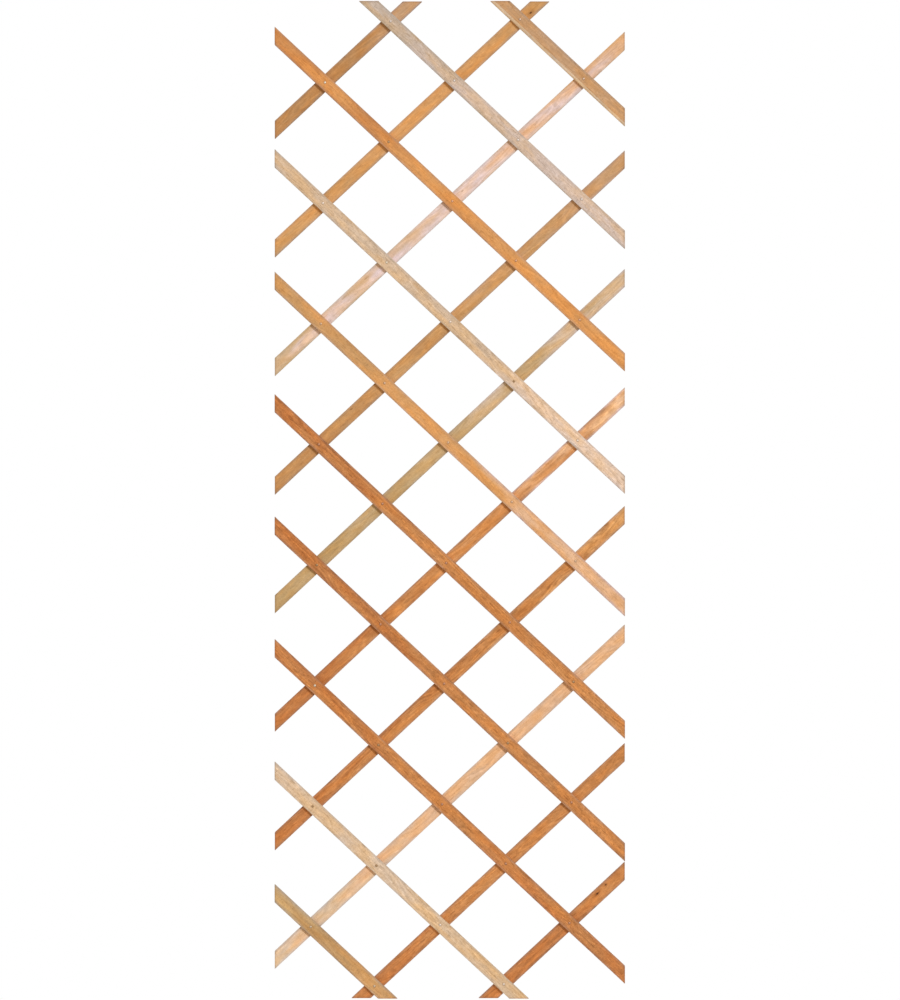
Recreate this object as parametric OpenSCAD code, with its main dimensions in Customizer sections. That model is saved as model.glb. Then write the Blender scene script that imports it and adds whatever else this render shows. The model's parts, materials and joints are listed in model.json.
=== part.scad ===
// Expanding wooden trellis panel: a layer of front slats over a layer of back slats,
// with one rivet at every crossing, trimmed to an upright rectangle.
// Millimetres. +Z is up, the front looks towards -Y and the wall side towards +Y.
// The origin is at the middle of the bottom edge, between the two layers.

/* [Lattice] */
// Slats in each layer
slat_count = 10; // [6:1:14]
// Rivets to each side of the middle column
side_columns = 2; // [1:1:3]
// Angle of every slat from the horizontal, in degrees
slat_angle = 43; // [30:1:60]
// Rivet spacing along a front slat
front_pitch = 157; // [120:1:200]
// Rivet spacing along a back slat
back_pitch = 162; // [120:1:200]

/* [Slats] */
// Width of a slat
slat_w = 24.5; // [18:0.5:32]
// Thickness of a slat
slat_t = 6; // [4:0.5:10]
// Gap between the two layers
layer_gap = 0.3; // [0.2:0.05:0.6]

/* [Trimmed ends] */
// Slat left past the outermost rivets at the left, along the slat
left_over = 89; // [30:1:110]
// Slat left past the outermost rivets at the right, along the slat
right_over = 102; // [30:1:110]
// Slat left past the highest rivet, along the slat
top_over = 49; // [30:1:90]
// Slat left past the lowest rivet, along the slat
bottom_over = 33; // [30:1:90]
// Least distance from a rivet to a trimmed edge
rivet_edge = 15; // [10:1:25]

/* [Rivets] */
// Diameter of the shank
shank_d = 2.4; // [1.6:0.1:4]
// Diameter of the head at the front and of the set tail at the back
head_d = 4.4; // [4:0.1:8]
// Thickness of the head and of the tail
head_t = 0.9; // [0.5:0.1:1.5]
// Radial play of a rivet in its holes
rivet_play = 0.1; // [0.02:0.01:0.1]
// Play under a head or a tail, along the rivet
seat_play = 0.1; // [0.05:0.05:0.3]

/* [Hidden] */
$fn = 48;
// A cut runs this far past the face that it opens
cut_past = 1;

// Wood tones and rivet metal
pale = "#dbbd9c";
honey = "#d99e63";
fawn = "#c89d6c";
russet = "#c9864e";
zinc = "#aaa79f";
front_tones = [fawn, pale, honey, pale, honey, russet, russet, russet, pale, fawn];
back_tones = [russet, fawn, pale, fawn, fawn, russet, russet, pale, russet, russet];

// The lattice in its own plane: slats are counted from the top, starting at 0
last = slat_count - 1;
function lattice_u(i, j) = (front_pitch * j - back_pitch * i) * cos(slat_angle);
function lattice_v(i, j) = -(front_pitch * j + back_pitch * i) * sin(slat_angle);

// The crossings that set the panel's edges leave out the corners where no two slats reach
function sets_edge(i, j) = abs(i - j) <= side_columns && i + j > 0 && i + j < 2 * last;
edge_crossings = [for (i = [0 : last], j = [0 : last]) if (sets_edge(i, j)) [i, j]];
crossing_u = [for (c = edge_crossings) lattice_u(c[0], c[1])];
crossing_v = [for (c = edge_crossings) lattice_v(c[0], c[1])];
left_u = min(crossing_u) - left_over * cos(slat_angle);
right_u = max(crossing_u) + right_over * cos(slat_angle);
top_v = max(crossing_v) + top_over * sin(slat_angle);
bottom_v = min(crossing_v) - bottom_over * sin(slat_angle);
panel_w = right_u - left_u;
panel_h = top_v - bottom_v;

// The same crossings in the panel's frame
function cross_x(i, j) = lattice_u(i, j) - (left_u + right_u) / 2;
function cross_z(i, j) = lattice_v(i, j) - bottom_v;
function riveted(i, j) =
    abs(cross_x(i, j)) < panel_w / 2 - rivet_edge
    && cross_z(i, j) > rivet_edge
    && cross_z(i, j) < panel_h - rivet_edge;

// The rivet that both layers turn on
centre = floor(last / 2);

// Layers, from the front face to the wall face
front_y = -layer_gap / 2 - slat_t;
wall_y = layer_gap / 2 + slat_t;
bar_l = 2 * (panel_w + panel_h);

// A straight bar through a point of the panel's plane, tilted and trimmed to the rectangle
module trimmed_bar(x, z, tilt, y, w, t) {
    intersection() {
        translate([x, y, z])
            rotate([0, tilt, 0])
            translate([-bar_l / 2, 0, -w / 2])
            cube([bar_l, t, w]);
        translate([-panel_w / 2, y - cut_past, 0])
            cube([panel_w, t + 2 * cut_past, panel_h]);
    }
}

// A round along +Y
module round_y(x, y, z, d, l) {
    translate([x, y, z])
        rotate([-90, 0, 0])
        cylinder(d = d, h = l);
}

module front_slat(i) {
    color(front_tones[i % len(front_tones)])
    difference() {
        trimmed_bar(cross_x(i, i), cross_z(i, i), slat_angle, front_y, slat_w, slat_t);
        for (j = [0 : last])
            if (riveted(i, j)) {
                round_y(cross_x(i, j), front_y - cut_past, cross_z(i, j),
                    shank_d + 2 * rivet_play, slat_t + 2 * cut_past);
                round_y(cross_x(i, j), front_y - cut_past, cross_z(i, j),
                    head_d + 2 * rivet_play, head_t + seat_play + cut_past);
            }
    }
}

module back_slat(j) {
    color(back_tones[j % len(back_tones)])
    difference() {
        trimmed_bar(cross_x(j, j), cross_z(j, j), -slat_angle, layer_gap / 2, slat_w, slat_t);
        for (i = [0 : last])
            if (riveted(i, j)) {
                round_y(cross_x(i, j), layer_gap / 2 - cut_past, cross_z(i, j),
                    shank_d + 2 * rivet_play, slat_t + 2 * cut_past);
                round_y(cross_x(i, j), wall_y - head_t - seat_play, cross_z(i, j),
                    head_d + 2 * rivet_play, head_t + seat_play + cut_past);
            }
    }
}

// One rivet: a head flush with the front, a shank, and a tail flush with the wall side
module rivet(i, j) {
    color(zinc) {
        round_y(cross_x(i, j), front_y, cross_z(i, j), head_d, head_t);
        round_y(cross_x(i, j), front_y, cross_z(i, j), shank_d, wall_y - front_y);
        round_y(cross_x(i, j), wall_y - head_t, cross_z(i, j), head_d, head_t);
    }
}

// The rivets that stay in one front slat
module rivets(i) {
    for (j = [0 : last])
        if (riveted(i, j) && !(i == centre && j == centre))
            rivet(i, j);
}

module centre_rivet() {
    rivet(centre, centre);
}

for (i = [1 : slat_count]) {
    front_slat(i - 1);
    back_slat(i - 1);
    rivets(i - 1);
}
centre_rivet();
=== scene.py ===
# Looks of the expanding wooden trellis panel: two layers of sawn slats on rivets.
import json
import math

import bmesh
import bpy
from mathutils import Color, Matrix, Vector, noise


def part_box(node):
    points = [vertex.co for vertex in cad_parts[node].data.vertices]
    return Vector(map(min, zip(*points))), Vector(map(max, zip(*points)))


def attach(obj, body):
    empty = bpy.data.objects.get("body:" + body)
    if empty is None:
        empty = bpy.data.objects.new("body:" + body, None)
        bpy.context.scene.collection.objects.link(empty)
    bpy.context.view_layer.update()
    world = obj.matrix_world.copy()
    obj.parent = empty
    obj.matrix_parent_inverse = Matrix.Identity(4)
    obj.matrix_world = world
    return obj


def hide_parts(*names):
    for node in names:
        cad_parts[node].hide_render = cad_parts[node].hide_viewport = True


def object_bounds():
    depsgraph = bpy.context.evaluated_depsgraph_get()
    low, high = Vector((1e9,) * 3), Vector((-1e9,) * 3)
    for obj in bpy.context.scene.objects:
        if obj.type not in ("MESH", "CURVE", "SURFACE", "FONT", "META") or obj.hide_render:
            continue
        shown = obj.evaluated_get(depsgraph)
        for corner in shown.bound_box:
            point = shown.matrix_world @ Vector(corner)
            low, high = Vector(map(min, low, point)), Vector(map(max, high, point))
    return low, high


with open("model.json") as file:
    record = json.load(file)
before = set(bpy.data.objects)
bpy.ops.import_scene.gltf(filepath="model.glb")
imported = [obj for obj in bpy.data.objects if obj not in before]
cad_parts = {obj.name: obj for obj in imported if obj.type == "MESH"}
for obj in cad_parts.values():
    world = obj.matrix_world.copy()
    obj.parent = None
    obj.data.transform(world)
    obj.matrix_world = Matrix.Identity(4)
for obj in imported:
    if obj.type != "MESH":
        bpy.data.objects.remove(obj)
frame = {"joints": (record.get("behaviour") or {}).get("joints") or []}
cad_low, cad_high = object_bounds()

MM = 0.001

# The lattice, from the frame's pivots: its middle rivet and the steps to the next rivet along a slat
SLATS = 10
CENTRE = 4
PIVOTS = {joint["name"]: Vector(joint["pos_m"]) for joint in frame["joints"]}
MIDDLE = PIVOTS["fold"]
FRONT_STEP = PIVOTS["back_6_pivot"] - MIDDLE
BACK_STEP = PIVOTS["front_6_pivot"] - MIDDLE
FRONT_PITCH = FRONT_STEP.length
BACK_PITCH = BACK_STEP.length
SLAT_ANGLE = math.atan2(-FRONT_STEP.z, FRONT_STEP.x)
COS = math.cos(SLAT_ANGLE)
SIN = math.sin(SLAT_ANGLE)
SLAT_W = 24.5 * MM
RIVET_EDGE = 15 * MM

# Rivets and the holes that they turn in
SHANK_R = 1.2 * MM
HEAD_R = 2.2 * MM
HEAD_T = 0.9 * MM
HEAD_DOME = 0.3 * MM
HEAD_RIM = 0.3 * MM
TAIL_SUNK = 0.04 * MM
ROLL = 0.4 * MM
DISH_DEEP = 0.75 * MM
DENT_DEEP = 0.04 * MM
DENT_LENGTH = 1.1 * MM
HOLE_R = 1.3 * MM
SEAT_R = 2.3 * MM
SEAT_DEEP = 1.0 * MM
SEAT_RIM = 0.15 * MM
CUT_PAST = 1.0 * MM
TURNED_SIDES = 24
HEAD_STEPS = 5
ROLL_STEPS = 6

# Sawn edges: the easing of the arrises, how they chip, and how the width wanders
RING_STEP = 5 * MM
EASED = 0.45 * MM
CHIP_DEEP = 3.6 * MM
CHIP_LENGTH = 15 * MM
CHIP_FROM = 0.32
WANDER = 0.5 * MM
WANDER_LENGTH = 120 * MM
ARC_STEPS = 3
FACE_STEPS = 4
SMOOTH_BELOW = math.radians(40)

# The corners of a slat's section in order, as its upper or lower side and its outer or inner face
CORNERS = [(-1, 1), (1, 1), (1, -1), (-1, -1)]

# The bevel that is planed on one edge of the first front slat
BEVEL_SLAT = "front_slat_1"
BEVEL_CORNER = (-1, 1)
BEVEL_W = 5.8 * MM
BEVEL_DEEP = 0.9 * MM
BEVEL_FADE = 0.15
BEVEL_BLEND = 1.0 * MM

# Where each slat's chances lie: its seed in the noise, the slices for its edges, salts for its grain
SEED_STEP = 3.7
FRONT_SEED = 1.3
BACK_SEED = 61.9
WANDER_SLICE = 10
CHIP_SLICE = 20
CHIP_SLICE_STEP = 7
SLOPE_SALT = 5.1
HEART_DEEP_SALT = 3.3
HEART_ACROSS_SALT = 2.3

# The flat layout of a slat's skin, which a bake of its finish can use: gaps and the foot row as shares of
# it
LAYOUT = "OFBake"
FINER_ACROSS = 1.6
ROW_GAP = 0.004
CELL_GAP = 0.05
FOOT = 0.06
END_CELLS = 2

# A face belongs to an end if it lies this near to it, and to a bore if it faces this little outwards
END_SKIN = EASED / 4
WALL_FACING = 0.5

# Camera, as the photograph frames the panel
PHOTO_H = 1000
PIXEL = 1.8036 * MM
VIEW_X = 0.4 * MM
VIEW_Z = 899.5 * MM
CAMERA_FAR = 6.0
SENSOR = 36.0

# Light: the key comes from the upper right, the back light from behind
KEY_FROM = Vector((0.50, -1.0, 0.56))
KEY_POWER = 1.98
KEY_SPREAD = math.radians(12)
BACK_FROM = Vector((-0.6, 1.0, 0.7))
BACK_POWER = 1.3
BACK_SPREAD = math.radians(25)
SKY_LEVEL = 0.46
SUN_TINT = (0.89, 1.0, 1.19)
FILL_TINT = (1.18, 1.0, 0.72, 1)
WHITE = (1, 1, 1, 1)

# Floor, below the lowest reach of the panel when it is drawn up tall
FLOOR_Z = -0.52
FLOOR_R = 2.3
FLOOR_FADE_FROM = 1.1
FLOOR_SIDES = 96
FLOOR_TONE = (0.90, 0.93, 0.97, 1)
FLOOR_ROUGH = 0.9
FLOOR_SPECULAR = 0.1

# Wood tones of bare mixed hardwood
TONES = {
    "ash": "#d9bfab",
    "driftwood": "#ccb59f",
    "blush": "#ebcfc5",
    "cream": "#e6c7ac",
    "straw": "#dabb9a",
    "flax": "#d5b188",
    "peach": "#e5b489",
    "salmon": "#f0bf92",
    "honey": "#e09d5b",
    "amber": "#dda062",
    "barley": "#d09c63",
    "sand": "#ce9f71",
    "fawn": "#c99d73",
    "wheat": "#c9a676",
    "olive": "#c09b67",
    "oak": "#b88e5c",
    "hazel": "#c18c57",
    "copper": "#d28d50",
    "tawny": "#c9864c",
    "russet": "#c17a43",
}

# The tones at the left end, in the middle and at the right end of each slat, from the top: their
# brightening towards the right end is partly painted light, as if the light fell from the right
FRONT_TONES_AND_LIGHT = [
    ("fawn", "fawn", "sand"),
    ("driftwood", "ash", "ash"),
    ("copper", "honey", "honey"),
    ("straw", "straw", "cream"),
    ("barley", "amber", "peach"),
    ("russet", "tawny", "copper"),
    ("russet", "tawny", "tawny"),
    ("russet", "tawny", "russet"),
    ("straw", "straw", "flax"),
    ("wheat", "oak", "barley"),
]
BACK_TONES_AND_LIGHT = [
    ("hazel", "hazel", "fawn"),
    ("barley", "amber", "barley"),
    ("flax", "blush", "peach"),
    ("hazel", "barley", "sand"),
    ("olive", "wheat", "straw"),
    ("russet", "copper", "salmon"),
    ("russet", "tawny", "amber"),
    ("straw", "peach", "peach"),
    ("russet", "tawny", "tawny"),
    ("russet", "russet", "tawny"),
]
TONE_WANDER = 0.9

# How the wood's figure and wear shade its tone, with the painted glints and the painted light on the
# bevel: shares of its red, green and blue
LATE_WOOD = (0.56, 0.50, 0.40, 1)
EARLY_WOOD = (1.42, 1.45, 1.48, 1)
WARM_CAST = (1.08, 0.96, 0.74, 1)
GREY_CAST = (0.93, 1.02, 1.20, 1)
PORE = (0.55, 0.46, 0.36, 1)
# Painted glints: pale flecks brightened towards a bluish white, as light catching the wood
PAINTED_GLINT_TINT = (1.20, 1.24, 1.30, 1)
HEARTWOOD = (0.22, 0.16, 0.12, 1)
# The bevel's tint: greyer than the slat, and brighter to lift it out of the shade it faces into, which is
# painted light
BEVEL_GREY_AND_PAINTED_LIGHT = (1.2, 1.5, 1.95, 1)
DIRT = (0.56, 0.51, 0.46, 1)

# Grain: its slope to the slat, and the growth rings' width, bow, detail and heart, in mm
GRAIN_SLOPE = 0.04
RING_W = 3.4
RING_BOW = 22
RING_DETAIL = 2.0
HEART_DEEP = 26
HEART_DEEP_SPREAD = 14
HEART_ACROSS_SPREAD = 34

# Streaks along the grain: the length and width of their cells in mm, then detail and roughness
DRIFT = (110, 24)
HUE = (46, 13)
MOTTLE = (13, 6)
FIBRE = (48, 1.0, 5.0, 0.65)
HAIR = (22, 0.26, 3.0)
SAW = (1.3, 30)
BOW = (190, 40)
LAYER_STEP = 3
NOISE_SPAN = (0.3, 0.7)

# Flecks along the grain: the length and width of their cells in mm, their size in a cell, the cells' share
PORES = (5.5, 0.5, 0.32, 0.6)
DASHES = (17, 3.0, 0.36, 0.4)
# The next flecks are painted glints of light on the wood
PAINTED_GLINT_CELLS = (10, 2.6, 0.4, 0.36)
SPECKS = (34, 12, 0.09, 0.1)
FLECK_LEAST = 0.45
FLECK_CORE = 0.6
FLECK_SOFT = 0.05
DASH_LEAST = 0.35

# How strongly the figure shows in each tone and in those that are not named, and what it is made up of
FIGURE = {"russet": 1.0, "tawny": 1.0, "copper": 0.8, "ash": 0.62, "straw": 0.72}
FINE_FIGURE = 0.55
RING_SHARE = 0.28
DRIFT_SHARE = 0.12
MOTTLE_SHARE = 0.24
FIBRE_SHARE = 0.24
HAIR_SHARE = 0.12

# How strongly the casts, the pores, the specks and the dirt show
CAST_SHOWS = 0.6
PORE_SHOWS = 0.7
SPECK_SHOWS = 0.8
END_SHOWS = 0.5
HALO_SHOWS = 0.05
HALO_DRIFT = 0.3

# The relief of the grain, its gloss, and how rough it is
FIBRE_HIGH = 0.4
HAIR_HIGH = 0.3
SAW_HIGH = 0.2
PORE_DEEP = 0.8
RELIEF = 0.4 * MM
RELIEF_STRENGTH = 0.6
WOOD_SPECULAR = 0.22
WOOD_ROUGH = 0.64
FIBRE_ROUGH = 0.14
EDGE_ROUGH = 0.1

# How far the wear and the painted shade along the arrises reach in from them, and how far the wear reaches
# in from the trimmed ends and from the rivets
EDGE_W = 6.0 * MM
END_FROM = 0.2 * MM
END_W = 4.5 * MM
HALO_W = 2.0 * MM

# How far a tone greys, and how bright the grey is: on the arrises a darker grey that is partly weathering
# with age and partly painted shade along the slat's edges, on dull rivets tarnish with age
ARRIS_GREYING_AND_SHADE = 0.42
ARRIS_GREY_AND_SHADE_LEVEL = 0.66
RIVET_GREYING = 0.34
RIVET_GREY = 1.0
LUMINANCE = (0.2126, 0.7152, 0.0722)

# Pin knots: their places along and across, in the slat's own frame, and their radius, in mm
KNOTS = {
    "back_slat_2": [(185, -4, 2.2)],
    "back_slat_10": [(397, 4, 1.6), (419, 5, 1.0), (378, -11, 1.2)],
}
KNOT_STRETCH = 1.8
KNOT_UNEVEN = 0.8 * MM
KNOT_CORE = 0.4
KNOT_REACH = 3
KNOT_DIRT = 0.5

# Rivets that stayed bright or went dark, by front and back slat, counted from 0; the others are dull
BRIGHT_RIVETS = {(2, 0), (3, 2), (7, 5)}
DARK_RIVETS = {(2, 1), (3, 4), (5, 7), (6, 4), (6, 7), (7, 6), (8, 6), (8, 7)}
# The bright steel is warmed towards the wood's tone: partly its own colour, partly a painted reflection of
# the wood round it
BRIGHT_STEEL_AND_REFLECTION = "#c9b79e"
DARK_METAL = "#a5825c"

# Fine scratches in the rivets' metal: their cells, their noise, and how they shade and roughen it
SCRATCH_W = 0.05 * MM
SCRATCH_LENGTH = 0.6 * MM
SCRATCH_DETAIL = 3.0
SCRATCH_SPAN = (0.35, 0.65)
SCRATCH_DARK = 0.81
SCRATCH_BRIGHT = 0.96
SCRATCH_ROUGH = 0.1

# Rust in patches: its clouds, from where it shows, and what it does to the metal
RUST = "#6d4122"
RUST_CLOUD = 1.2 * MM
RUST_DETAIL = 4.0
RUST_ROUGHNESS = 0.6
RUST_FROM = 0.66
RUST_FULL = 0.8
RUST_SHOWS = 0.85
RUST_DULLS = 0.8
RUST_ROUGH = 0.25


def crossing(i, j):
    """Where front slat i crosses back slat j, across the panel and up it."""
    place = MIDDLE + FRONT_STEP * (j - CENTRE) + BACK_STEP * (i - CENTRE)
    return place.x, place.z


def riveted(i, j):
    """Whether the crossing lies far enough inside the trimmed panel to hold a rivet."""
    x, z = crossing(i, j)
    inside = cad_low.x + RIVET_EDGE < x < cad_high.x - RIVET_EDGE
    return inside and cad_low.z + RIVET_EDGE < z < cad_high.z - RIVET_EDGE


class Slat:
    """One slat: its own frame has X along it, Y through the panel and Z across it.

    That frame starts where the slat's line crosses the line of the other layer's slat of its number.
    """

    def __init__(self, layer, number):
        front = layer == "front"
        self.front = front
        self.number = number
        self.node = f"{layer}_slat_{number + 1}"
        self.body = f"{layer}_{number + 1}"
        self.turn = 1 if front else -1
        self.pitch = FRONT_PITCH if front else BACK_PITCH
        self.tones = (FRONT_TONES_AND_LIGHT if front else BACK_TONES_AND_LIGHT)[number]
        self.main_tone = self.tones[1]
        self.seed = SEED_STEP * number + (FRONT_SEED if front else BACK_SEED)
        self.x, self.z = crossing(number, number)
        low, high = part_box(self.node)
        self.outer = low.y if front else high.y
        self.inner = high.y if front else low.y
        self.outward = -1 if front else 1

    def matrix(self):
        """The way from the slat's own frame to the panel's."""
        return Matrix.Translation((self.x, 0, self.z)) @ Matrix.Rotation(self.turn * SLAT_ANGLE, 4, "Y")

    def pins(self):
        """The rivets through this slat, as distances along it."""
        pairs = [(self.number, n) if self.front else (n, self.number) for n in range(SLATS)]
        return [self.pitch * (j - i) for i, j in pairs if riveted(i, j)]

    def trim(self, across):
        """Where the slat starts and ends along its length, at one distance across it."""
        right = self.x + self.turn * across * SIN
        up = self.z + across * COS
        sides = [(edge - right) / COS for edge in (cad_low.x, cad_high.x)]
        levels = sorted(self.turn * (up - edge) / SIN for edge in (cad_low.z, cad_high.z))
        return max(sides[0], levels[0]), min(sides[1], levels[1])

    def span(self, along):
        """-1 at the slat's left end, 1 at its right end."""
        start, end = self.trim(0)
        return (along - (start + end) / 2) / ((end - start) / 2)

    def wobble(self, along, length, slice_at):
        """Smooth noise from -1 to 1 along the slat."""
        return noise.noise(Vector((along / length, self.seed, slice_at)))

    def chance(self, salt):
        """A number from -1 to 1 that is this slat's own."""
        return math.sin(salt * self.seed)


def eased_corner(slat, along, share, pull_in, number):
    """One corner of the section as an arc of (across, through) points, with its easing and its chips."""
    side, face = CORNERS[number]
    worn_in = slat.wobble(along, WANDER_LENGTH, WANDER_SLICE * side)
    edge = SLAT_W / 2 - WANDER * (1 + worn_in) / 2 - pull_in
    chip = slat.wobble(along, CHIP_LENGTH, CHIP_SLICE + CHIP_SLICE_STEP * number) - CHIP_FROM
    wide = EASED + CHIP_DEEP * max(chip, 0)
    deep = wide
    if slat.node == BEVEL_SLAT and CORNERS[number] == BEVEL_CORNER:
        wide += BEVEL_W * (1 - BEVEL_FADE * share)
        deep += BEVEL_DEEP * (1 - BEVEL_FADE * share)
    surface = slat.outer if face == 1 else slat.inner
    into = -slat.outward * face
    arc = []
    for step in range(ARC_STEPS + 1):
        turn = math.pi / 2 * step / ARC_STEPS
        across = side * (edge - wide + wide * math.cos(turn))
        arc.append((across, surface + into * (pull_in + deep - deep * math.sin(turn))))
    return arc if side * face == -1 else arc[::-1]


def outline(slat, along, share, pull_in):
    """The slat's section at one place along it, as (across, through) points all the way round."""
    arcs = [eased_corner(slat, along, share, pull_in, number) for number in range(len(CORNERS))]
    points = []
    for number, arc in enumerate(arcs):
        points += arc
        if number % 2 == 0:
            first, last = arc[-1], arcs[number + 1][0]
            for step in range(1, FACE_STEPS):
                part = step / FACE_STEPS
                points.append(tuple(a + (b - a) * part for a, b in zip(first, last)))
    return points


def mesh_object(name, vertices, faces, matrix):
    """A new object of that mesh, at that place in the scene."""
    mesh = bpy.data.meshes.new(name)
    mesh.from_pydata(vertices, [], faces)
    mesh.validate()
    made = bpy.data.objects.new(name, mesh)
    made.matrix_world = matrix
    bpy.context.scene.collection.objects.link(made)
    return made


def facing_out(mesh):
    """Turns all faces of a closed mesh outwards."""
    work = bmesh.new()
    work.from_mesh(mesh)
    bmesh.ops.recalc_face_normals(work, faces=work.faces)
    work.to_mesh(mesh)
    work.free()


def smooth(piece):
    """Shades the rounded arrises smooth and keeps the flat faces flat."""
    piece.data.polygons.foreach_set("use_smooth", [True] * len(piece.data.polygons))
    piece.data.set_sharp_from_angle(angle=SMOOTH_BELOW)
    flat = piece.modifiers.new("flat_faces", "WEIGHTED_NORMAL")
    flat.keep_sharp = True


def turned(profile, centres):
    """One turned solid at each centre: the profile's (radius, depth) points go round +Y."""
    vertices = []
    faces = []
    for x, z in centres:
        rings = []
        for radius, depth in profile:
            sides = TURNED_SIDES if radius else 1
            rings.append(range(len(vertices), len(vertices) + sides))
            for side in range(sides):
                a = 2 * math.pi * side / TURNED_SIDES
                vertices.append((x + radius * math.cos(a), depth, z + radius * math.sin(a)))
        for near, far in zip(rings, rings[1:]):
            for side in range(TURNED_SIDES):
                after = (side + 1) % TURNED_SIDES
                corners = [near[side % len(near)], near[after % len(near)]]
                corners += [far[after % len(far)], far[side % len(far)]]
                faces.append(list(dict.fromkeys(corners)))
    return vertices, faces


def hole_profile(slat):
    """The hole through a slat: a seat with an eased rim for the head or the tail, and the bore."""
    out = slat.outward
    top = slat.outer
    return [
        (0, top + out * CUT_PAST),
        (SEAT_R + 2 * SEAT_RIM, top + out * CUT_PAST),
        (SEAT_R + SEAT_RIM, top),
        (SEAT_R, top - out * SEAT_RIM),
        (SEAT_R, top - out * SEAT_DEEP),
        (HOLE_R, top - out * SEAT_DEEP),
        (HOLE_R, slat.inner - out * CUT_PAST),
        (0, slat.inner - out * CUT_PAST),
    ]


class Layout:
    """A slat's skin laid flat: its lengths in rows, and its ends and bores in cells along the foot."""

    def __init__(self, slat):
        start, end = slat.trim(0)
        self.slat = slat
        self.length = end - start
        self.thick = abs(slat.inner - slat.outer)
        self.girth = 2 * (SLAT_W + self.thick)
        self.rows = round(math.sqrt(self.length / self.girth / FINER_ACROSS))
        self.pins = slat.pins()

    def share(self, point):
        """How far along the slat a point lies, from 0 to 1."""
        first, last = self.slat.trim(point.z)
        return (point.x - first) / (last - first)

    def deep(self, point):
        """How far under the outer face a point lies."""
        return abs(point.y - self.slat.outer)

    def round_slat(self, point, normal):
        """How far round the slat a point lies, from the lower edge of the outer face."""
        across = point.z + SLAT_W / 2
        if abs(normal.y) < abs(normal.z):
            return SLAT_W + self.deep(point) if normal.z > 0 else self.girth - self.deep(point)
        outer = normal.y * self.slat.outward > 0
        return across if outer else 2 * SLAT_W + self.thick - across

    def in_row(self, row, point, normal):
        """A place in one of the rows."""
        u = self.share(point) * self.rows - row
        v = self.round_slat(point, normal) / self.girth
        height = (1 - FOOT) / self.rows
        inset = 1 - 2 * ROW_GAP
        return ROW_GAP + inset * u, FOOT + row * height + ROW_GAP + v * (height - 2 * ROW_GAP)

    def in_cell(self, cell, u, point):
        """A place in one of the cells at the foot."""
        inset = 1 - 2 * CELL_GAP
        v = self.deep(point) / self.thick
        return (cell + CELL_GAP + inset * u) / (END_CELLS + len(self.pins)), FOOT * (CELL_GAP + inset * v)

    def in_bore(self, pin, middle, corners):
        """The places of a face of a bore's wall, which is rolled out into a cell."""
        cell = END_CELLS + self.pins.index(pin)
        facing = math.atan2(middle.z, middle.x - pin)
        turns = [math.atan2(point.z, point.x - pin) - facing for point in corners]
        turns = [facing + math.remainder(turn, 2 * math.pi) for turn in turns]
        shares = [turn / (2 * math.pi) + 0.5 for turn in turns]
        return [self.in_cell(cell, share, point) for share, point in zip(shares, corners)]

    def places(self, corners, normal):
        """The places of one face's corners."""
        middle = sum(corners, Vector()) / len(corners)
        share = self.share(middle)
        if min(share, 1 - share) * self.length < END_SKIN:
            return [self.in_cell(round(share), point.z / SLAT_W + 0.5, point) for point in corners]
        pin = min(self.pins, key=lambda along: abs(along - middle.x))
        if math.hypot(middle.x - pin, middle.z) < SEAT_R and abs(normal.y) < WALL_FACING:
            return self.in_bore(pin, middle, corners)
        row = min(int(share * self.rows), self.rows - 1)
        return [self.in_row(row, point, normal) for point in corners]

    def draw(self, mesh):
        """Lays out a mesh that is still in the slat's own frame."""
        places = mesh.uv_layers.new(name=LAYOUT).uv
        for polygon in mesh.polygons:
            corners = [mesh.vertices[index].co for index in polygon.vertices]
            for loop, place in zip(polygon.loop_indices, self.places(corners, polygon.normal)):
                places[loop].vector = place


def sawn_blank(slat, rows):
    """The slat before it is drilled: rings of its section from end to end, as many in each row."""
    start, end = slat.trim(0)
    steps = rows * round((end - start) / RING_STEP / rows)
    stations = [(0, 0, EASED), (0, EASED, 0)]
    stations += [(step / steps, 0, 0) for step in range(1, steps)]
    stations += [(1, -EASED, 0), (1, 0, EASED)]
    vertices = []
    faces = []
    for share, shift, pull_in in stations:
        section = outline(slat, start + (end - start) * share, share, pull_in)
        for across, through in section:
            first, last = slat.trim(across)
            vertices.append((first + (last - first) * share + shift, through, across))
    count = len(section)
    for ring in range(len(stations) - 1):
        near = ring * count
        far = near + count
        for point in range(count):
            after = (point + 1) % count
            faces.append((near + point, near + after, far + after, far + point))
    faces.append(range(count))
    faces.append(range(len(vertices) - count, len(vertices)))
    blank = mesh_object("sawn_" + slat.node, vertices, faces, slat.matrix())
    facing_out(blank.data)
    return blank


def drill_holes(piece, slat):
    """Cuts the slat's rivet holes out of its blank."""
    holes = turned(hole_profile(slat), [(along, 0) for along in slat.pins()])
    drill = mesh_object("drill", *holes, slat.matrix())
    facing_out(drill.data)
    cut = piece.modifiers.new("drilled", "BOOLEAN")
    cut.operation = "DIFFERENCE"
    cut.solver = "MANIFOLD"
    cut.object = drill
    graph = bpy.context.evaluated_depsgraph_get()
    piece.data = bpy.data.meshes.new_from_object(piece.evaluated_get(graph))
    piece.data.name = piece.name
    piece.modifiers.clear()
    bpy.data.objects.remove(drill)


def sawn_slat(slat):
    """The slat as sawn: eased and chipped arrises, a wandering width, trimmed ends and drilled holes."""
    layout = Layout(slat)
    piece = sawn_blank(slat, layout.rows)
    drill_holes(piece, slat)
    layout.draw(piece.data)
    piece.data.transform(slat.matrix())
    piece.matrix_world = Matrix.Identity(4)
    smooth(piece)
    return piece


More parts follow.
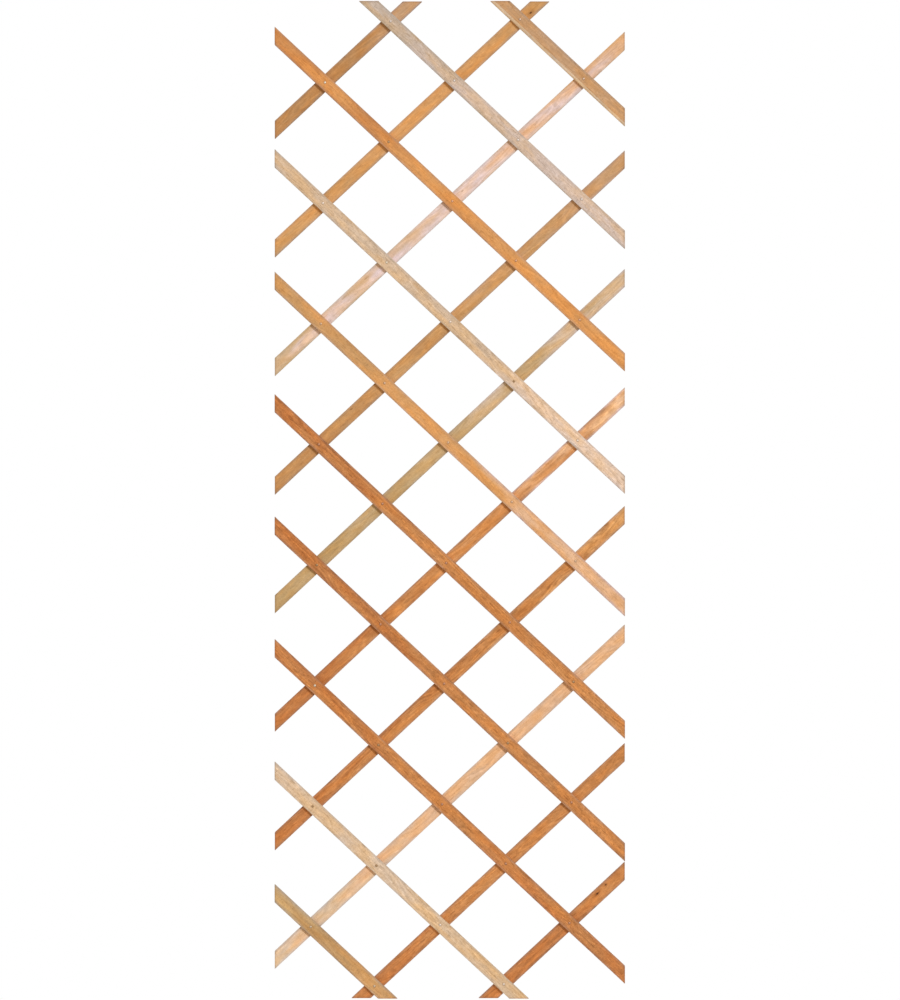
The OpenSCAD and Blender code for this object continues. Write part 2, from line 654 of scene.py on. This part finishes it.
def rivet_profile():
    """A rivet from the crown of its head to the middle of its rolled tail."""
    head = cad_low.y
    tail = cad_high.y - TAIL_SUNK
    crown = HEAD_DOME + HEAD_RIM
    roll_r = HEAD_R - ROLL
    quarter = [math.pi / 2 * step / HEAD_STEPS for step in range(HEAD_STEPS + 1)]
    dome = [(HEAD_R * math.sin(a), head + HEAD_RIM - crown * math.cos(a)) for a in quarter]
    half = [math.pi * step / ROLL_STEPS for step in range(ROLL_STEPS + 1)]
    rolled = [(roll_r + ROLL * math.cos(a), tail - ROLL + ROLL * math.sin(a)) for a in half]
    return [
        *dome,
        (HEAD_R, head + HEAD_T),
        (SHANK_R, head + HEAD_T),
        (SHANK_R, tail - HEAD_T),
        (roll_r, tail - HEAD_T),
        *rolled,
        (0, tail - DISH_DEEP),
    ]


def dented(point):
    """A point of a rivet, moved in or out a little by the hammer that set it."""
    x, y, z = point
    return x, y + DENT_DEEP * noise.noise(Vector(point) / DENT_LENGTH), z


def rivet_state(pair):
    """How the rivet at a crossing has weathered."""
    if pair in BRIGHT_RIVETS:
        return "bright"
    return "dark" if pair in DARK_RIVETS else "dull"


def rivet_piece(name, pairs, metals):
    """The rivets of some crossings as one piece, each in the metal that it has weathered to."""
    vertices, faces = turned(rivet_profile(), [crossing(i, j) for i, j in pairs])
    piece = mesh_object(name, [dented(point) for point in vertices], faces, Matrix.Identity(4))
    facing_out(piece.data)
    for metal in metals.values():
        piece.data.materials.append(metal)
    order = list(metals)
    each = len(piece.data.polygons) // len(pairs)
    for number, polygon in enumerate(piece.data.polygons):
        polygon.material_index = order.index(rivet_state(pairs[number // each]))
    smooth(piece)
    return piece


def linear(code):
    """A hex colour as the linear red, green and blue of a shader."""
    parts = [int(code[at : at + 2], 16) / 255 for at in (1, 3, 5)]
    return list(Color(parts).from_srgb_to_scene_linear())


def weathered(tone, greying, level):
    """The tint that turns a tone part of the way to a grey of that share of its brightness."""
    colour = linear(TONES[tone])
    grey = level * sum(part * share for part, share in zip(colour, LUMINANCE))
    return (*(1 + greying * (grey / part - 1) for part in colour), 1)


def tarnished(tone):
    """The colour of a rivet that has dulled until it hardly shows in wood of that tone."""
    tint = weathered(tone, RIVET_GREYING, RIVET_GREY)
    return [part * share for part, share in zip(linear(TONES[tone]), tint)]


def scaled(colour, share):
    """A colour at a share of its brightness, as a shader's colour."""
    return (*(part * share for part in colour), 1)


class Field:
    """A shader socket in Python arithmetic: each operator adds a Math node."""

    def __init__(self, finish, socket):
        self.finish = finish
        self.socket = socket

    def out(self, name):
        """Another output of the same node."""
        return Field(self.finish, self.socket.node.outputs[name])

    def __add__(self, other):
        return self.finish.math("ADD", self, other)

    def __radd__(self, other):
        return self.finish.math("ADD", other, self)

    def __sub__(self, other):
        return self.finish.math("SUBTRACT", self, other)

    def __rsub__(self, other):
        return self.finish.math("SUBTRACT", other, self)

    def __mul__(self, other):
        return self.finish.math("MULTIPLY", self, other)

    def __rmul__(self, other):
        return self.finish.math("MULTIPLY", other, self)

    def __truediv__(self, other):
        return self.finish.math("DIVIDE", self, other)

    def __abs__(self):
        return self.finish.math("ABSOLUTE", self)


class Finish:
    """The nodes of one material or of the world."""

    def __init__(self, owner):
        self.owner = owner
        owner.use_nodes = True
        self.tree = owner.node_tree
        self.tree.nodes.clear()

    def node(self, kind, settings=None, sockets=None, output=None):
        """Adds a node: its settings come first, then the values or links of its sockets."""
        made = self.tree.nodes.new("ShaderNode" + kind)
        for name, value in (settings or {}).items():
            setattr(made, name, value)
        inputs = {socket.identifier: socket for socket in made.inputs}
        for name, value in (sockets or {}).items():
            if isinstance(value, Field):
                self.tree.links.new(value.socket, inputs[name])
            else:
                inputs[name].default_value = value
        outputs = {socket.identifier: socket for socket in made.outputs}
        first = next(iter(outputs.values()), None)
        return Field(self, outputs[output] if output else first)

    def math(self, operation, first, second=0.0):
        return self.node("Math", {"operation": operation}, {"Value": first, "Value_001": second})

    def length(self, x, z):
        return self.math("SQRT", x * x + z * z)

    def rise(self, field, low, high):
        """0 below low, 1 above high and a smooth step between them."""
        settings = {"interpolation_type": "SMOOTHSTEP"}
        sockets = {"Value": field, "From Min": low, "From Max": high, "To Min": 0.0, "To Max": 1.0}
        return self.node("MapRange", settings, sockets)

    def fall(self, field, low, high):
        """1 below low, 0 above high and a smooth step between them."""
        return 1 - self.rise(field, low, high)

    def blend(self, first, second, share):
        """A colour that goes from the first to the second as the share grows."""
        settings = {"data_type": "RGBA", "clamp_factor": True}
        sockets = {"Factor_Float": share, "A_Color": first, "B_Color": second}
        return self.node("Mix", settings, sockets, "Result_Color")

    def stain(self, colour, tint, share):
        """Multiplies a colour by a tint, as far as the share goes."""
        settings = {"data_type": "RGBA", "blend_type": "MULTIPLY", "clamp_factor": True}
        sockets = {"Factor_Float": share, "A_Color": colour, "B_Color": tint}
        return self.node("Mix", settings, sockets, "Result_Color")

    def axes(self):
        """The X, Y and Z of a surface point in its object's frame."""
        place = self.node("TexCoord", output="Object")
        parts = self.node("SeparateXYZ", None, {"Vector": place})
        return [parts.out(axis) for axis in "XYZ"]

    def vector(self, x, y, z):
        return self.node("CombineXYZ", None, {"X": x, "Y": y, "Z": z})

    def noise(self, vector, detail=2.0, roughness=0.5):
        sockets = {"Vector": vector, "Scale": 1.0, "Detail": detail, "Roughness": roughness}
        return self.node("TexNoise", {"noise_dimensions": "3D"}, sockets)

    def cells(self, vector):
        """Distance from the nearest of a scatter of points, one to each unit cell."""
        sockets = {"Vector": vector, "Scale": 1.0, "Randomness": 1.0}
        return self.node("TexVoronoi", {"feature": "F1", "voronoi_dimensions": "3D"}, sockets, "Distance")

    def material(self, sockets):
        """Ends the nodes in one surface and gives back the material."""
        surface = self.node("BsdfPrincipled", None, sockets)
        self.node("OutputMaterial", None, {"Surface": surface})
        return self.owner


class Grain:
    """The patterns of one slat's wood, drawn out along its grain in the slat's own frame."""

    def __init__(self, finish, slat):
        self.finish = finish
        self.slat = slat
        self.layer = 0
        self.panel_x, self.deep, self.panel_z = finish.axes()
        right = self.panel_x - slat.x
        up = self.panel_z - slat.z
        self.along = right * COS - up * (slat.turn * SIN)
        self.across = right * (slat.turn * SIN) + up * COS
        self.leaning = self.across + self.along * (GRAIN_SLOPE * slat.chance(SLOPE_SALT))
        self.drift = self.streaks(*DRIFT)
        self.hue = self.streaks(*HUE)
        self.mottle = self.streaks(*MOTTLE)
        self.fibre = self.streaks(*FIBRE)
        self.hair = self.streaks(*HAIR)
        self.saw = self.streaks(*SAW)
        self.pores = self.flecks(*PORES)
        self.dashes = self.flecks(*DASHES) * (DASH_LEAST + (1 - DASH_LEAST) * self.hair)
        self.painted_glints = self.flecks(*PAINTED_GLINT_CELLS)
        self.specks = self.flecks(*SPECKS)
        self.rings = self.growth_rings()

    def stretched(self, length, width):
        """Coordinates in cells that long along the grain and that wide across it, in mm."""
        self.layer += LAYER_STEP
        return self.finish.vector(
            self.along / (length * MM) + (self.slat.seed + self.layer),
            self.deep / (width * MM) + self.layer,
            self.leaning / (width * MM) + self.slat.seed,
        )

    def streaks(self, length, width, detail=2.0, roughness=0.5):
        """Noise from 0 to 1 in streaks along the grain."""
        pattern = self.finish.noise(self.stretched(length, width), detail, roughness)
        return self.finish.rise(pattern, *NOISE_SPAN)

    def flecks(self, length, width, size, share):
        """Dashes of many sizes along the grain, in a share of the cells."""
        spot = self.finish.cells(self.stretched(length, width))
        chance = self.finish.node("SeparateColor", None, {"Color": spot.out("Color")})
        dash = self.finish.fall(spot / (FLECK_LEAST + chance.out("Green")), FLECK_CORE * size, size)
        return dash * self.finish.fall(chance, share - FLECK_SOFT, share + FLECK_SOFT)

    def growth_rings(self):
        """Growth rings about a heart that lies outside the slat."""
        bow = (self.streaks(*BOW) - 0.5) * (RING_BOW * MM)
        heart_deep = HEART_DEEP + HEART_DEEP_SPREAD * self.slat.chance(HEART_DEEP_SALT)
        heart_across = HEART_ACROSS_SPREAD * self.slat.chance(HEART_ACROSS_SALT)
        radius = self.finish.length(self.deep + heart_deep * MM, self.leaning + heart_across * MM) + bow
        sockets = {"W": radius / (RING_W * MM), "Scale": 1.0, "Detail": RING_DETAIL}
        pattern = self.finish.node("TexNoise", {"noise_dimensions": "1D"}, sockets)
        return self.finish.rise(pattern, *NOISE_SPAN)


def drifting_tone_and_painted_light(slat, grain):
    """The slat's tone, which drifts from its left end over its middle to its right end; its brightening
    towards the right end is partly painted light.
    """
    finish = grain.finish
    left, middle, right = ((*linear(TONES[tone]), 1) for tone in slat.tones)
    place = slat.span(grain.along) + (grain.drift - 0.5) * TONE_WANDER
    first_half = finish.blend(left, middle, finish.rise(place, -1.0, 0.0))
    return finish.blend(first_half, right, finish.rise(place, 0.0, 1.0))


def knotted(slat, grain, colour):
    """The colour with the slat's pin knots in it."""
    finish = grain.finish
    for along, across, size in KNOTS.get(slat.node, []):
        radius = size * MM
        knot_x = (grain.along - along * MM) / KNOT_STRETCH
        knot = finish.length(knot_x, grain.across - across * MM) + (grain.mottle - 0.5) * KNOT_UNEVEN
        colour = finish.stain(colour, DIRT, finish.fall(knot, radius, KNOT_REACH * radius) * KNOT_DIRT)
        colour = finish.stain(colour, HEARTWOOD, finish.fall(knot, KNOT_CORE * radius, radius))
    return colour


def figured(slat, grain):
    """The slat's colour with its figure: rings, fibres, casts, pores, flecks, painted glints and knots."""
    finish = grain.finish
    contrast = FIGURE.get(slat.main_tone, FINE_FIGURE)
    figure = grain.rings * RING_SHARE + grain.drift * DRIFT_SHARE + grain.mottle * MOTTLE_SHARE
    figure = figure + grain.fibre * FIBRE_SHARE + grain.hair * HAIR_SHARE
    colour = drifting_tone_and_painted_light(slat, grain)
    colour = finish.stain(colour, finish.blend(LATE_WOOD, EARLY_WOOD, figure), contrast)
    colour = finish.stain(colour, finish.blend(GREY_CAST, WARM_CAST, grain.hue), CAST_SHOWS)
    colour = finish.stain(colour, PORE, grain.pores * (PORE_SHOWS * contrast))
    colour = finish.stain(colour, PORE, grain.dashes * (PORE_SHOWS * contrast))
    # Painted glints: flecks brightened as if light caught them
    colour = finish.stain(colour, PAINTED_GLINT_TINT, grain.painted_glints * contrast)
    colour = knotted(slat, grain, colour)
    return finish.stain(colour, PORE, grain.specks * SPECK_SHOWS)


def planed_bevel(slat, grain):
    """A mask of the bevel that is planed on the slat's lower edge."""
    bevel_w = BEVEL_W * (1 - BEVEL_FADE * (0.5 + slat.span(grain.along) * 0.5))
    return grain.finish.fall(grain.across + SLAT_W / 2 - bevel_w, -BEVEL_BLEND, 0.0)


def trimmed_ends(grain):
    """A mask of the wood just inside the panel's trimmed edges."""
    finish = grain.finish
    half_height = (cad_high.z - cad_low.z) / 2
    to_side = cad_high.x - abs(grain.panel_x)
    to_level = half_height - abs(grain.panel_z - (cad_low.z + half_height))
    return finish.fall(finish.math("MINIMUM", to_side, to_level), END_FROM, END_W)


def rivet_halo(slat, grain):
    """A mask of the wood round the slat's rivets."""
    finish = grain.finish
    step = grain.along / slat.pitch
    from_pin = (step - finish.math("ROUND", step)) * slat.pitch
    return finish.fall(finish.length(from_pin, grain.across), HEAD_R, HEAD_R + HALO_W)


def worn_and_shaded(slat, grain, colour, edge):
    """The colour with greyed, darkened arrises, partly weathering and partly painted shade, dirt in the
    trimmed ends and faint marks round the rivets.
    """
    finish = grain.finish
    greyed_and_shaded = weathered(slat.main_tone, ARRIS_GREYING_AND_SHADE, ARRIS_GREY_AND_SHADE_LEVEL)
    # Painted shade: the arrises are darkened as well as greyed, standing in for the shade along the slat's
    # edges
    colour = finish.stain(colour, greyed_and_shaded, edge * (0.5 + 0.5 * grain.mottle))
    colour = finish.stain(colour, DIRT, trimmed_ends(grain) * END_SHOWS)
    return finish.stain(colour, DIRT, rivet_halo(slat, grain) * (HALO_SHOWS + HALO_DRIFT * grain.drift))


def relief(grain):
    """The bump of the fibres, the saw marks and the pores."""
    height = grain.fibre * FIBRE_HIGH + grain.hair * HAIR_HIGH
    height = height + grain.saw * SAW_HIGH - grain.pores * PORE_DEEP
    sockets = {"Strength": RELIEF_STRENGTH, "Distance": RELIEF, "Height": height}
    return grain.finish.node("Bump", None, sockets)


def wood(slat):
    """Bare sawn hardwood: its figure with painted glints, the wear where it was cut with painted shade on
    its arrises and painted light on its bevel, and the relief of its grain.
    """
    finish = Finish(bpy.data.materials.new(f"{slat.main_tone}_{slat.node}"))
    grain = Grain(finish, slat)
    colour = figured(slat, grain)
    # The arrises' mask: it carries their wear and their painted shade into the colour, and their roughness
    edge = finish.rise(abs(grain.across), SLAT_W / 2 - EDGE_W, SLAT_W / 2 - EASED)
    if slat.node == BEVEL_SLAT:
        bevel = planed_bevel(slat, grain)
        # Painted light: the bevel is greyed, and brightened against the shade it falls in
        colour = finish.stain(colour, BEVEL_GREY_AND_PAINTED_LIGHT, bevel)
        edge = edge * (1 - bevel)
    return finish.material(
        {
            "Base Color": worn_and_shaded(slat, grain, colour, edge),
            "Roughness": WOOD_ROUGH + FIBRE_ROUGH * grain.fibre + EDGE_ROUGH * edge,
            "Specular IOR Level": WOOD_SPECULAR,
            "Normal": relief(grain),
        }
    )


def rivet_metal(name, metal, rust, roughness):
    """Plated wire steel that has dulled, with fine scratches and with rust in patches."""
    finish = Finish(bpy.data.materials.new(f"{name}_rivet_steel"))
    x, y, z = finish.axes()
    clouds = finish.vector(x / RUST_CLOUD, y / RUST_CLOUD, z / RUST_CLOUD)
    cloud = finish.noise(clouds, RUST_DETAIL, RUST_ROUGHNESS)
    lines = finish.vector(x / SCRATCH_W, y / SCRATCH_LENGTH, z / SCRATCH_LENGTH)
    scratch = finish.rise(finish.noise(lines, SCRATCH_DETAIL), *SCRATCH_SPAN)
    patches = finish.rise(cloud, RUST_FROM - rust, RUST_FULL - rust)
    colour = finish.blend(scaled(metal, SCRATCH_DARK), scaled(metal, SCRATCH_BRIGHT), scratch)
    colour = finish.blend(colour, (*linear(RUST), 1), patches * RUST_SHOWS)
    return finish.material(
        {
            "Base Color": colour,
            "Metallic": 1 - RUST_DULLS * patches,
            "Roughness": roughness + RUST_ROUGH * patches + SCRATCH_ROUGH * scratch,
        }
    )


def floor_finish():
    """A plain pale floor that fades out towards its rim."""
    finish = Finish(bpy.data.materials.new("pale_floor"))
    place = finish.node("TexCoord", output="Object")
    distance = finish.node("VectorMath", {"operation": "LENGTH"}, {"Vector": place}, "Value")
    return finish.material(
        {
            "Base Color": FLOOR_TONE,
            "Roughness": FLOOR_ROUGH,
            "Specular IOR Level": FLOOR_SPECULAR,
            "Alpha": finish.fall(distance, FLOOR_FADE_FROM, FLOOR_R),
        }
    )


def build_floor():
    """The floor, which is part of the stage."""
    rim = [2 * math.pi * side / FLOOR_SIDES for side in range(FLOOR_SIDES)]
    vertices = [(FLOOR_R * math.cos(a), FLOOR_R * math.sin(a), 0) for a in rim]
    floor = mesh_object("floor", vertices, [range(FLOOR_SIDES)], Matrix.Translation((0, 0, FLOOR_Z)))
    floor.data.materials.append(floor_finish())


def sun(name, come_from, power, spread):
    """A lamp whose light comes from one direction."""
    lamp = bpy.data.lights.new(name, "SUN")
    lamp.color = SUN_TINT
    lamp.energy = power
    lamp.angle = spread
    made = bpy.data.objects.new(name, lamp)
    made.rotation_mode = "QUATERNION"
    made.rotation_quaternion = (-come_from).to_track_quat("-Z", "Y")
    bpy.context.scene.collection.objects.link(made)


def build_light():
    """A key and a back light, and a white surround that is seen at full strength but lights softly."""
    sun("key_light", KEY_FROM, KEY_POWER, KEY_SPREAD)
    sun("back_light", BACK_FROM, BACK_POWER, BACK_SPREAD)
    world = bpy.data.worlds.new("white_surround")
    bpy.context.scene.world = world
    finish = Finish(world)
    path = finish.node("LightPath", output="Is Camera Ray")
    seen = path + path.out("Is Glossy Ray") + path.out("Is Transmission Ray")
    seen = finish.math("MINIMUM", seen, 1.0)
    strength = SKY_LEVEL + seen * (1 - SKY_LEVEL)
    tint = finish.blend(FILL_TINT, WHITE, seen)
    light = finish.node("Background", None, {"Color": tint, "Strength": strength})
    finish.node("OutputWorld", None, {"Surface": light})


def build_camera():
    """A long lens, level with the panel's middle and square to its front."""
    lens = bpy.data.cameras.new("photo_camera")
    lens.sensor_width = SENSOR
    lens.lens = SENSOR * CAMERA_FAR / (PHOTO_H * PIXEL)
    camera = bpy.data.objects.new("photo_camera", lens)
    camera.location = (VIEW_X, cad_low.y - CAMERA_FAR, VIEW_Z)
    camera.rotation_euler = (math.pi / 2, 0, 0)
    bpy.context.scene.collection.objects.link(camera)
    bpy.context.scene.camera = camera


def build_slats():
    """Both layers of slats, each in its own wood and on its own body."""
    for layer in ("front", "back"):
        for number in range(SLATS):
            slat = Slat(layer, number)
            piece = sawn_slat(slat)
            piece.data.materials.clear()
            piece.data.materials.append(wood(slat))
            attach(piece, slat.body)
            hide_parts(slat.node)


def set_rivets(name, pairs, metals, body, node):
    """Puts the rivets of some crossings on a body, in the place of a node."""
    piece = rivet_piece(name, pairs, metals)
    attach(piece, body)
    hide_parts(node)


def build_rivets():
    """The rivets, on the front slats that they stay in, and the one at the centre."""
    metals = {
        "bright": rivet_metal("bright", linear(BRIGHT_STEEL_AND_REFLECTION), rust=0.0, roughness=0.45),
        "dark": rivet_metal("dark", linear(DARK_METAL), rust=0.1, roughness=0.5),
    }
    for i in range(SLATS):
        tone = FRONT_TONES_AND_LIGHT[i][0]
        metals["dull"] = rivet_metal(f"{tone}_{i + 1}", tarnished(tone), rust=0.06, roughness=0.48)
        pairs = [(i, j) for j in range(SLATS) if riveted(i, j) and (i, j) != (CENTRE, CENTRE)]
        set_rivets(f"rivet_row_{i + 1}", pairs, metals, f"front_{i + 1}", f"rivets_{i + 1}")
        if i == CENTRE:
            set_rivets("pivot_rivet", [(CENTRE, CENTRE)], metals, "centre_rivet", "centre_rivet")


bpy.context.scene.view_settings.view_transform = "Standard"
build_camera()
build_light()
build_floor()
build_slats()
build_rivets()
